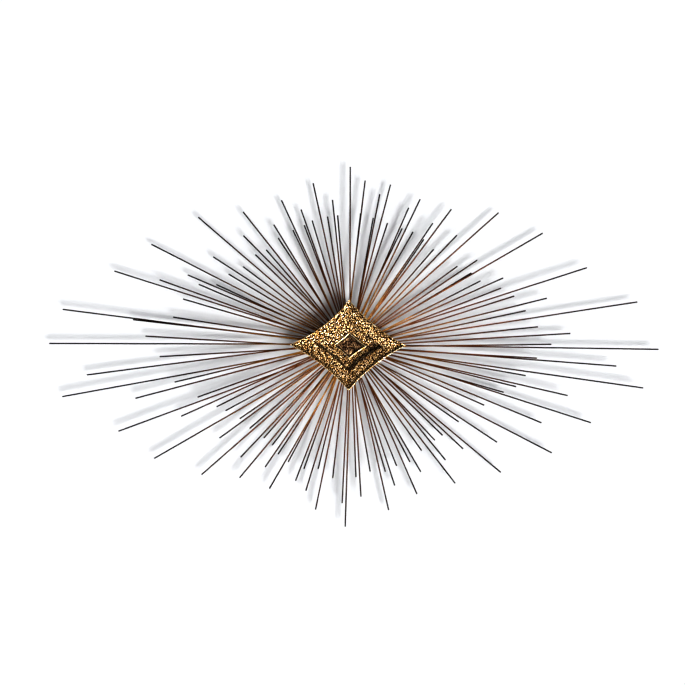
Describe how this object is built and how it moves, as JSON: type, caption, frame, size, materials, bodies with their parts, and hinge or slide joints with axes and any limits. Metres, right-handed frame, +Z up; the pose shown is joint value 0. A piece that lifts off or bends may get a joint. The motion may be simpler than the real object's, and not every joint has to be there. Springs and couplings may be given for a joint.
{
  "type": "starburst wall sculpture",
  "caption": "Wall-hung starburst of thin straight metal rods fanning out behind a stepped, hammered brass diamond, on a hidden hub and keyhole wall plate.",
  "frame": {"origin": "centre of the wall plate's rear face, where the sculpture lies against the wall", "axes": "+X to the viewer's right, +Y into the wall, +Z up; the front faces -Y"},
  "size_m": [1.5249, 0.095, 0.8989],
  "materials": {
    "hammered_brass": "hammered and torched brass, gold-brown, satin with bright high spots",
    "dark_brass": "hammered brass with a dark brown patina",
    "rod_patina": "drawn brazing rod, copper-gold near the boss, dark brown patina at the tips",
    "black_steel": "blackened mild steel"
  },
  "bodies": {
    "root": {"wall_plate": "black_steel", "hub_back_disc": "black_steel", "hub_core": "black_steel", "hub_front_disc": "black_steel", "standoff_post_1": "black_steel", "standoff_post_2": "black_steel", "standoff_post_3": "black_steel", "standoff_post_4": "black_steel", "rod_fan_01": "rod_patina", "rod_fan_02": "rod_patina", "rod_fan_03": "rod_patina", "rod_fan_04": "rod_patina", "rod_fan_05": "rod_patina", "rod_fan_06": "rod_patina", "rod_fan_07": "rod_patina", "rod_fan_08": "rod_patina", "rod_fan_09": "rod_patina", "rod_fan_10": "rod_patina", "rod_fan_11": "rod_patina", "rod_fan_12": "rod_patina", "rod_fan_13": "rod_patina", "rod_fan_14": "rod_patina", "rod_fan_15": "rod_patina", "rod_fan_16": "rod_patina", "rod_fan_17": "rod_patina", "rod_fan_18": "rod_patina", "rod_fan_19": "rod_patina", "rod_fan_20": "rod_patina", "rod_fan_21": "rod_patina", "rod_fan_22": "rod_patina", "rod_fan_23": "rod_patina", "rod_fan_24": "rod_patina", "rod_fan_25": "rod_patina", "rod_fan_26": "rod_patina", "rod_fan_27": "rod_patina", "rod_fan_28": "rod_patina", "rod_fan_29": "rod_patina", "rod_fan_30": "rod_patina", "rod_fan_31": "rod_patina", "rod_fan_32": "rod_patina", "rod_fan_33": "rod_patina", "rod_fan_34": "rod_patina", "rod_fan_35": "rod_patina", "rod_fan_36": "rod_patina", "rod_fan_37": "rod_patina", "rod_fan_38": "rod_patina", "rod_fan_39": "rod_patina", "rod_fan_40": "rod_patina", "back_plate": "dark_brass", "outer_post_1": "dark_brass", "outer_post_2": "dark_brass", "outer_post_3": "dark_brass", "outer_post_4": "dark_brass", "inner_post_1": "dark_brass", "inner_post_2": "dark_brass", "inner_post_3": "dark_brass", "inner_post_4": "dark_brass", "middle_frame": "hammered_brass", "outer_frame": "hammered_brass"}
  },
  "joints": []
}
